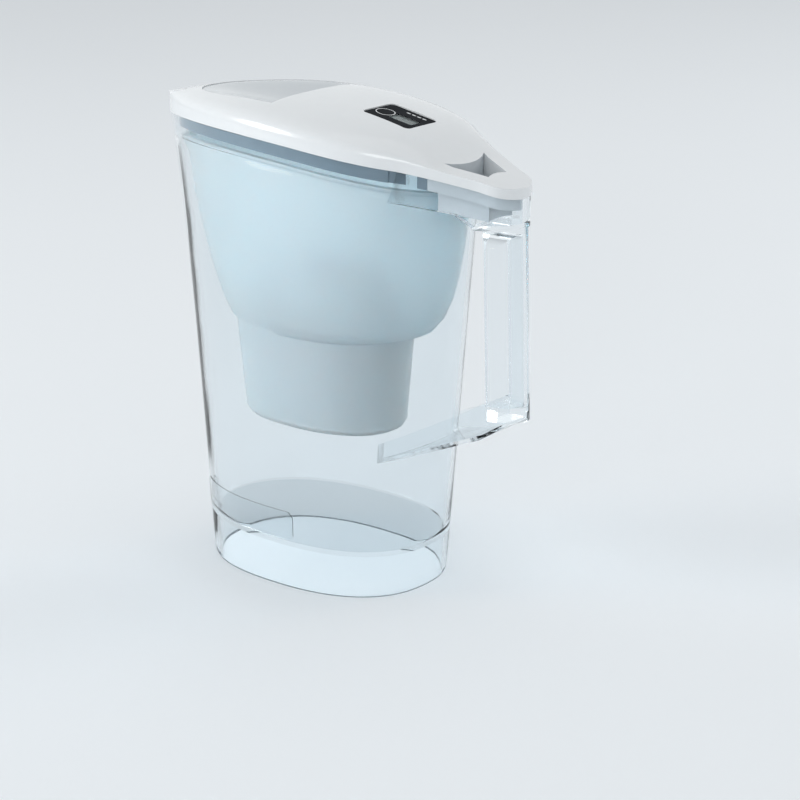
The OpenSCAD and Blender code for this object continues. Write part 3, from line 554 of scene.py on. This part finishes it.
def display_glass():
    """Grey-green display with a faint fine pixel weave."""
    mat, tree, shader, _ = blank_material("grey-green display")
    tone = tuple(colours().display)
    place = object_place(tree)
    rows = {"Vector": place, "Scale": 900.0, "Distortion": 0.2}
    across = put(tree, "ShaderNodeTexWave", rows, bands_direction="Y").outputs["Fac"]
    base = drifting(tree, tone, dimmer(tone, 0.86), 120.0)
    lined = blend_colour(tree, sums(tree, "MULTIPLY", across, 0.12), base, dimmer(tone, 0.7))
    tree.links.new(lined, shader.inputs["Base Color"])
    handled(tree, shader, 0.22, 0.3, 300.0)
    relief(tree, shader, across, 0.000004)
    return mat


def bright_steel():
    """Stamped steel with a fine rolled grain."""
    mat, tree, shader, _ = blank_material("bright rolled steel")
    tone = (0.62, 0.62, 0.61)
    place = object_place(tree)
    drawn = put(tree, "ShaderNodeMapping", {"Vector": place, "Scale": (1.0, 22.0, 1.0)}).outputs[0]
    rolled = noise(tree, 600.0, 4.0, drawn)
    tree.links.new(drifting(tree, tone, dimmer(tone, 0.85), 90.0), shader.inputs["Base Color"])
    set_values(shader, {"Metallic": 1.0})
    tree.links.new(spread(tree, rolled, 0.3, 0.7, 0.22, 0.36), shader.inputs["Roughness"])
    relief(tree, shader, rolled, 0.000004)
    return mat


def screen_weave():
    """Woven nylon of the cartridge's two screens."""
    mat, tree, shader, _ = blank_material("woven nylon screen")
    tone = (0.70, 0.73, 0.74)
    place = object_place(tree)
    threads = [
        put(tree, "ShaderNodeTexWave", {"Vector": place, "Scale": 260.0}, bands_direction=way).outputs["Fac"]
        for way in ("X", "Y")
    ]
    weave = sums(tree, "MULTIPLY", *threads)
    base = drifting(tree, tone, dimmer(tone, 0.9), 50.0)
    tree.links.new(blend_colour(tree, weave, dimmer(tone, 0.45), base), shader.inputs["Base Color"])
    handled(tree, shader, 0.45, 0.6, 90.0)
    relief(tree, shader, weave, 0.0001)
    return mat


def packed_granules():
    """Dark carbon grains mixed with pale resin beads."""
    mat, tree, shader, _ = blank_material("carbon and resin grains")
    place = object_place(tree)
    cells = put(tree, "ShaderNodeTexVoronoi", {"Vector": place, "Scale": 950.0})
    pick = put(tree, "ShaderNodeSeparateColor", {"Color": cells.outputs["Color"]}).outputs[0]
    carbon = drifting(tree, (0.03, 0.03, 0.032), (0.06, 0.058, 0.055), 400.0)
    mixed = blend_colour(tree, spread(tree, pick, 0.55, 0.6), carbon, (0.55, 0.50, 0.38))
    tree.links.new(mixed, shader.inputs["Base Color"])
    handled(tree, shader, 0.55, 0.8, 200.0)
    relief(tree, shader, cells.outputs["Distance"], 0.0004, -1.0)
    return mat


def circuit_green():
    """Solder mask over copper tracks."""
    mat, tree, shader, _ = blank_material("green solder mask")
    place = object_place(tree)
    pattern = {
        "Vector": place,
        "Color1": (0.02, 0.15, 0.07, 1.0),
        "Color2": (0.018, 0.12, 0.06, 1.0),
        "Mortar": (0.06, 0.26, 0.12, 1.0),
        "Scale": 90.0,
        "Mortar Size": 0.012,
    }
    tracks = put(tree, "ShaderNodeTexBrick", pattern)
    tree.links.new(tracks.outputs["Color"], shader.inputs["Base Color"])
    handled(tree, shader, 0.25, 0.4, 240.0)
    relief(tree, shader, tracks.outputs["Fac"], 0.00003)
    return mat


def marking(name, tone):
    """Matt printed ink with a trace of grain and handling marks."""
    return moulded(
        name, tone, (0.35, 0.5), grain=3000.0, depth=0.000004, waves=1.0, drift=0.92, marks=300.0, dust=0.02,
        wear=0.0,
    )[0]


# ---------------------------------------------------------------- mesh helpers


def body_of(node):
    """The moving body that a CAD node belongs to."""
    return NODES[node]["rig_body"]


def place_piece(name, bm, mat, body, sharp=SHARP):
    """Turns a finished bmesh into a piece at the origin that rides on a body."""
    mesh = bpy.data.meshes.new(name)
    bm.to_mesh(mesh)
    bm.free()
    for extra in ("custom_normal", "sharp_face", "sharp_edge"):
        if extra in mesh.attributes:
            mesh.attributes.remove(mesh.attributes[extra])
    mesh.materials.clear()
    mesh.materials.append(mat)
    for polygon in mesh.polygons:
        polygon.use_smooth = True
        polygon.material_index = 0
    mesh.set_sharp_from_angle(angle=math.radians(sharp))
    piece = bpy.data.objects.new(name, mesh)
    bpy.context.scene.collection.objects.link(piece)
    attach(piece, body)
    return piece


def merged_copy(node):
    """A bmesh of a CAD node's mesh with its loose triangles welded and paired into quads."""
    bm = bmesh.new()
    bm.from_mesh(NODES[node].data)
    bmesh.ops.remove_doubles(bm, verts=bm.verts, dist=WELD)
    bmesh.ops.join_triangles(
        bm, faces=bm.faces, angle_face_threshold=PAIR_FLATNESS, angle_shape_threshold=PAIR_SHAPE
    )
    return bm


def smooth_copy(node, name, mat, sharp=SHARP):
    """A smoothly shaded stand-in for a faceted CAD node."""
    piece = place_piece(name, merged_copy(node), mat, body_of(node), sharp)
    even = piece.modifiers.new("even shading", "WEIGHTED_NORMAL")
    even.keep_sharp = True
    even.mode = "FACE_AREA_WITH_ANGLE"
    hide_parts(node)
    return piece


def refinish(node, mat):
    """Gives a CAD node that stays its detailed finish."""
    NODES[node].data.materials.clear()
    NODES[node].data.materials.append(mat)


def plate(long, wide, high, corner, lip, place):
    """A flat plate with rounded corners and a softened top edge."""
    bm = bmesh.new()
    bmesh.ops.create_cube(bm, size=1.0, matrix=Matrix.Diagonal((long, wide, high, 1.0)))
    upright = [e for e in bm.edges if abs(e.verts[0].co.z - e.verts[1].co.z) > high * 0.5]
    bmesh.ops.bevel(bm, geom=upright, offset=corner, segments=3, profile=0.5, affect="EDGES", material=-1)
    top = [f for f in bm.faces if f.normal.z > 0.99]
    rim = list({e for f in top for e in f.edges})
    bmesh.ops.bevel(bm, geom=rim, offset=lip, segments=2, profile=0.5, affect="EDGES", material=-1)
    bm.transform(place)
    return bm


def ring(radius, wide, high, place):
    """A flat ring spun from a softened section."""
    bm = bmesh.new()
    bmesh.ops.create_grid(
        bm, x_segments=1, y_segments=1, size=0.5,
        matrix=Matrix.Translation((radius, 0, 0)) @ Matrix.Rotation(math.pi / 2, 4, "X")
        @ Matrix.Diagonal((wide, high, 1.0, 1.0)),
    )
    bmesh.ops.bevel(
        bm, geom=list(bm.verts), offset=min(wide, high) * 0.3, segments=2, profile=0.5, affect="VERTICES",
        material=-1,
    )
    edges = list(bm.edges)
    bmesh.ops.delete(bm, geom=list(bm.faces), context="FACES_ONLY")
    bmesh.ops.spin(
        bm, geom=edges, cent=(0, 0, 0), axis=(0, 0, 1), dvec=(0, 0, 0), angle=math.tau, steps=64,
        use_merge=True,
    )
    bmesh.ops.remove_doubles(bm, verts=bm.verts, dist=1e-8)
    bmesh.ops.recalc_face_normals(bm, faces=bm.faces)
    bm.transform(place)
    return bm


# ---------------------------------------------------------------- operators


class JUG_OT_clear_body(bpy.types.Operator):
    """Finish the clear tank and handle and add the blank pad"""

    bl_idname = "jug.clear_body"
    bl_label = "Clear tank and handle"

    def execute(self, context):
        clear = clear_plastic("clear styrene", WALL_BEND)
        tank = smooth_copy("tank", "clear_tank", clear, WALL_SHARP)
        # The floor plate gets a darker copy of the clear plastic, a painted shade inside the foot.
        tank.data.materials.append(clear_plastic("clear floor styrene", FLOOR_BEND, FLOOR_PAINTED_SHADE))
        lowest, highest = FLOOR_PLATE
        for face in tank.data.polygons:
            if abs(face.normal.z) > LEVEL and lowest < face.center.z < highest:
                face.material_index = 1
        smooth_copy("handle", "clear_handle", clear, WALL_SHARP)
        pad_finish = clear_plastic("clear pad styrene", PAD_BEND)
        place_piece("blank_pad", self.pad(), pad_finish, body_of("tank"))
        return {"FINISHED"}

    def pad(self):
        """A low blank pad on the tank's near side, cut from the tank's own outer wall."""
        bm = merged_copy("tank")
        ends, heights = list(zip(PAD_ENDS, (-1, 1))), list(zip(PAD_HEIGHTS, (-1, 1)))
        edges = [(Vector((x, 0, 0)), Vector((side, 0, 0))) for x, side in ends]
        edges += [(Vector((0, 0, z)), Vector((0, 0, side))) for z, side in heights]
        for x, along in ends:
            for z, up in heights:
                way = Vector((along, 0, up)).normalized()
                edges.append((Vector((x, 0, z)) - way * PAD_CORNER, way))
        for at, way in edges:
            bmesh.ops.bisect_plane(
                bm, geom=list(bm.verts) + list(bm.edges) + list(bm.faces), dist=1e-7, plane_co=at * MM,
                plane_no=way, clear_outer=True,
            )
        off_wall = [f for f in bm.faces if f.normal.y > -0.5 or f.calc_center_median().y > 0]
        bmesh.ops.delete(bm, geom=off_wall, context="FACES")
        bm.normal_update()
        bmesh.ops.translate(bm, verts=list(bm.verts), vec=(0, -PAD_GAP * MM, 0))
        bmesh.ops.solidify(bm, geom=list(bm.faces), thickness=-sizes().pad_height)
        bmesh.ops.recalc_face_normals(bm, faces=bm.faces)
        return bm


class JUG_OT_reservoir(bpy.types.Operator):
    """Finish the frosted reservoir"""

    bl_idname = "jug.reservoir"
    bl_label = "Frosted reservoir"

    def execute(self, context):
        smooth_copy("reservoir", "frosted_reservoir", frosted_plastic(), WALL_SHARP)
        return {"FINISHED"}


def rim_height(x):
    """Height of the tank's rim at a place along the jug."""
    return (RIM_TOP - RIM_FALL * ((x / MM - RIM_CREST) / RIM_REACH) ** 2) * MM


def is_skirt(face):
    """True for the lid's upright outer faces that stand inside the tank's rim, which get painted shade."""
    at = face.center
    outward = Vector((at.x, at.y, 0.0)).dot(Vector((face.normal.x, face.normal.y, 0.0))) > 0
    return at.z < rim_height(at.x) - SKIRT_DROP and abs(face.normal.z) < UPRIGHT and outward


class JUG_OT_lid(bpy.types.Operator):
    """Finish the white lid, the fill flap and the spout flap"""

    bl_idname = "jug.lid"
    bl_label = "Lid and flaps"

    def execute(self, context):
        white = white_plastic("glossy white plastic", tuple(colours().white))
        # The fill flap gets the white plastic in a greyer tone, a painted shade for its scooped recess.
        scoop_shade = white_plastic("satin scoop plastic", tuple(colours().scoop_shade))
        lid = smooth_copy("lid", "white_lid", white, LID_SHARP)
        self.lower_arms(lid.data)
        # The lid's upright faces inside the rim get a dark painted shade, those of its block over the handle
        # a lighter one.
        for name, tone in (("skirt plastic", colours().skirt_shade), ("socket plastic", colours().socket)):
            lid.data.materials.append(moulded(name, tuple(tone), (0.3, 0.42), grain=1300.0)[0])
        for face in lid.data.polygons:
            if is_skirt(face):
                face.material_index = 1 if face.center.x < SOCKET_START else 2
        smooth_copy("fill_flap", "scooped_fill_flap", scoop_shade, LID_SHARP)
        smooth_copy("spout_flap", "hinged_spout_flap", white, LID_SHARP)
        return {"FINISHED"}

    def lower_arms(self, mesh):
        """Lowers the lid's arms and tongue round the finger hole a little, past the end of the dome."""
        for vert in mesh.vertices:
            along = (vert.co.x - ARMS_START) / ARMS_BLEND
            edge = rim_height(vert.co.x) + ARMS_EDGE
            if along > 0 and vert.co.z > edge:
                share = min(1.0, along)
                keep = 1.0 - ARMS_SINK * share * share * (3.0 - 2.0 * share)
                vert.co.z = edge + (vert.co.z - edge) * keep


class JUG_OT_cartridge(bpy.types.Operator):
    """Finish the cartridge with its cap, ring, seal, screens and grains"""

    bl_idname = "jug.cartridge"
    bl_label = "Filter cartridge"

    def execute(self, context):
        # The cartridge's grey plastic is darker than its own tone, a painted shade for the shaded inside of
        # the reservoir.
        tone = tuple(colours().cartridge)
        shell = moulded("cartridge plastic", tone, (0.35, 0.5), grain=1400.0, depth=0.00003)[0]
        smooth_copy("cartridge_housing", "cartridge_body", shell)
        smooth_copy("cartridge_cap", "cartridge_top", shell)
        rubber = (0.30, 0.33, 0.35)
        seal = moulded("soft seal rubber", rubber, (0.55, 0.7), grain=2200.0, depth=0.00004, waves=1.0)[0]
        smooth_copy("cartridge_lip_seal", "lip_seal", seal)
        blue = moulded("pull ring plastic", tuple(colours().ring), (0.3, 0.45), depth=0.00003, wear=0.5)[0]
        refinish("cartridge_pull_ring", blue)
        weave = screen_weave()
        smooth_copy("upper_screen", "upper_mesh", weave)
        smooth_copy("lower_screen", "lower_mesh", weave)
        smooth_copy("filter_granules", "grain_bed", packed_granules())
        return {"FINISHED"}


class JUG_OT_timer(bpy.types.Operator):
    """Finish the change timer and print its plain marks"""

    bl_idname = "jug.timer"
    bl_label = "Change timer"

    def execute(self, context):
        black = glossy_black()
        for node in ("timer_face", "timer_button"):
            refinish(node, black)
        refinish("timer_case", moulded("timer shell plastic", (0.75, 0.77, 0.78), (0.35, 0.5))[0])
        refinish("timer_window", window_plastic())
        refinish("timer_display", display_glass())
        refinish("timer_board", circuit_green())
        zebra = moulded("zebra rubber", (0.09, 0.09, 0.095), (0.6, 0.8), grain=2600.0, depth=0.00004)[0]
        refinish("timer_contact_strip", zebra)
        steel = bright_steel()
        for node in ("timer_dome_switch", "timer_coin_cell", "timer_cell_clip"):
            refinish(node, steel)
        self.marks()
        return {"FINISHED"}

    def marks(self):
        """A plain ring round the button, four short bars and the display's bar segments."""
        high = sizes().mark_height
        ink = marking("white print", tuple(colours().print_white))
        bm = ring(sizes().ring_mark, RING_WIDTH * MM, high, self.on_face(BUTTON_AT, 0.0))
        place_piece("ring_mark", bm, ink, "timer")
        self.row("bar_mark", ink, "timer_black", FIRST_BAR, BAR_STEP, BAR_SIZE)
        dark = marking("display segment", (0.045, 0.055, 0.055))
        self.row("gauge_segment", dark, "display_glass", FIRST_SEGMENT, SEGMENT_STEP, SEGMENT_SIZE)

    def on_face(self, at, along):
        """The place of a mark that stands on the timer, in millimetres of its own frame."""
        spot = (Vector(at) + Vector((along, 0.0, 0.0))) * MM
        return TIMER_PLACE @ Matrix.Translation(spot) @ Matrix.Translation((0, 0, sizes().mark_height * 0.5))

    def row(self, name, ink, slot, first, step, size):
        """A row of equal flat marks along the jug."""
        high = sizes().mark_height
        long, wide = Vector(size) * MM
        for k in range(MARK_COUNT):
            bm = plate(long, wide, high, MARK_CORNER * MM, high * 0.3, self.on_face(first, step * k))
            place_piece(f"{name}_{k + 1}", bm, ink, "timer")


class JUG_OT_stage(bpy.types.Operator):
    """Set up the pale floor, the soft light and the camera"""

    bl_idname = "jug.stage"
    bl_label = "Floor, light and camera"

    def execute(self, context):
        self.floor()
        self.world()
        settings = context.scene.jug_stage
        for name, at, aim, size, watts in LAMPS:
            self.lamp(name, at, aim, size, getattr(settings, watts))
        self.camera()
        context.scene.view_settings.view_transform = "Standard"
        return {"FINISHED"}

    def floor(self):
        """A wide pale disc under the jug."""
        bm = bmesh.new()
        bmesh.ops.create_circle(bm, cap_ends=True, segments=96, radius=FLOOR_RADIUS)
        bmesh.ops.bevel(
            bm, geom=list(bm.edges), offset=FLOOR_CORNER, segments=2, profile=0.5, affect="EDGES", material=-1
        )
        mesh = bpy.data.meshes.new("pale_floor")
        bm.to_mesh(mesh)
        bm.free()
        mat, tree, shader, _ = blank_material("pale floor")
        tone = tuple(bpy.context.scene.jug_stage.floor)
        tree.links.new(drifting(tree, tone, dimmer(tone, 0.99), 1.5), shader.inputs["Base Color"])
        set_values(shader, {"Roughness": 0.9, "Specular IOR Level": 0.1})
        mesh.materials.append(mat)
        floor = bpy.data.objects.new("pale_floor", mesh)
        bpy.context.scene.collection.objects.link(floor)

    def world(self):
        """Even light all round, and the full background for the eye, in reflections and through plastic."""
        settings = bpy.context.scene.jug_stage
        world = bpy.data.worlds.new("soft studio")
        world.use_nodes = True
        tree = world.node_tree
        tree.nodes.clear()
        path = put(tree, "ShaderNodeLightPath").outputs
        seen = sums(tree, "ADD", path["Is Camera Ray"], path["Is Glossy Ray"])
        seen = sums(tree, "ADD", seen, path["Is Transmission Ray"])
        seen = sums(tree, "MINIMUM", seen, 1.0)
        mix = put(tree, "ShaderNodeMixShader")
        tree.links.new(seen, mix.inputs[0])
        lights = (((0.97, 0.985, 1.0), settings.ambient), (tuple(settings.background), 1.0))
        for socket, (tone, strength) in zip(mix.inputs[1:], lights):
            light = put(tree, "ShaderNodeBackground", {"Color": tone, "Strength": strength})
            tree.links.new(light.outputs[0], socket)
        out = tree.nodes.new("ShaderNodeOutputWorld")
        tree.links.new(mix.outputs[0], out.inputs["Surface"])
        bpy.context.scene.world = world

    def lamp(self, name, at, aim, size, watts):
        """A round lamp that faces its aim."""
        light = bpy.data.lights.new(name, "AREA")
        light.shape = "DISK"
        light.size = size
        light.energy = watts
        lamp = bpy.data.objects.new(name, light)
        lamp.location = at
        lamp.rotation_euler = (Vector(aim) - Vector(at)).to_track_quat("-Z", "Y").to_euler()
        bpy.context.scene.collection.objects.link(lamp)

    def camera(self):
        """The photograph's viewing angle: a long lens that looks down from the handle's end."""
        data = bpy.data.cameras.new("photo_camera")
        data.sensor_width = SENSOR_WIDTH
        data.lens = LENS_IN_PIXELS / PICTURE_WIDTH * SENSOR_WIDTH
        data.clip_start, data.clip_end = 0.05, 40.0
        camera = bpy.data.objects.new("photo_camera", data)
        camera.location = CAMERA_AT
        camera.rotation_euler = (math.pi / 2 - CAMERA_DOWN, 0.0, CAMERA_TURN)
        bpy.context.scene.collection.objects.link(camera)
        bpy.context.scene.camera = camera


class JUG_PT_panel(bpy.types.Panel):
    """Sizes, colours and steps of the filter jug"""

    bl_idname = "JUG_PT_panel"
    bl_label = "Filter Jug"
    bl_space_type = "VIEW_3D"
    bl_region_type = "UI"
    bl_category = "Filter Jug"

    def draw(self, context):
        """Every setting and then every step."""
        for settings in (context.scene.jug_colours, context.scene.jug_sizes, context.scene.jug_stage):
            box = self.layout.box()
            for name in settings.bl_rna.properties.keys():
                if name not in ("rna_type", "name"):
                    box.prop(settings, name)
        for step in STEPS:
            self.layout.operator(step.bl_idname)


STEPS = (
    JUG_OT_clear_body,
    JUG_OT_reservoir,
    JUG_OT_lid,
    JUG_OT_cartridge,
    JUG_OT_timer,
    JUG_OT_stage,
)
GROUPS = (JugColours, JugSizes, StageSettings)


def register():
    """Adds the settings, the steps and the panel."""
    for made in (*GROUPS, *STEPS, JUG_PT_panel):
        bpy.utils.register_class(made)
    bpy.types.Scene.jug_colours = bpy.props.PointerProperty(type=JugColours)
    bpy.types.Scene.jug_sizes = bpy.props.PointerProperty(type=JugSizes)
    bpy.types.Scene.jug_stage = bpy.props.PointerProperty(type=StageSettings)


def unregister():
    """Takes them away again."""
    for name in ("jug_colours", "jug_sizes", "jug_stage"):
        delattr(bpy.types.Scene, name)
    for made in reversed((*GROUPS, *STEPS, JUG_PT_panel)):
        bpy.utils.unregister_class(made)


def main():
    """Runs every step."""
    register()
    bpy.ops.jug.clear_body()
    bpy.ops.jug.reservoir()
    bpy.ops.jug.lid()
    bpy.ops.jug.cartridge()
    bpy.ops.jug.timer()
    bpy.ops.jug.stage()
    bpy.context.view_layer.update()


if __name__ == "__main__":
    main()
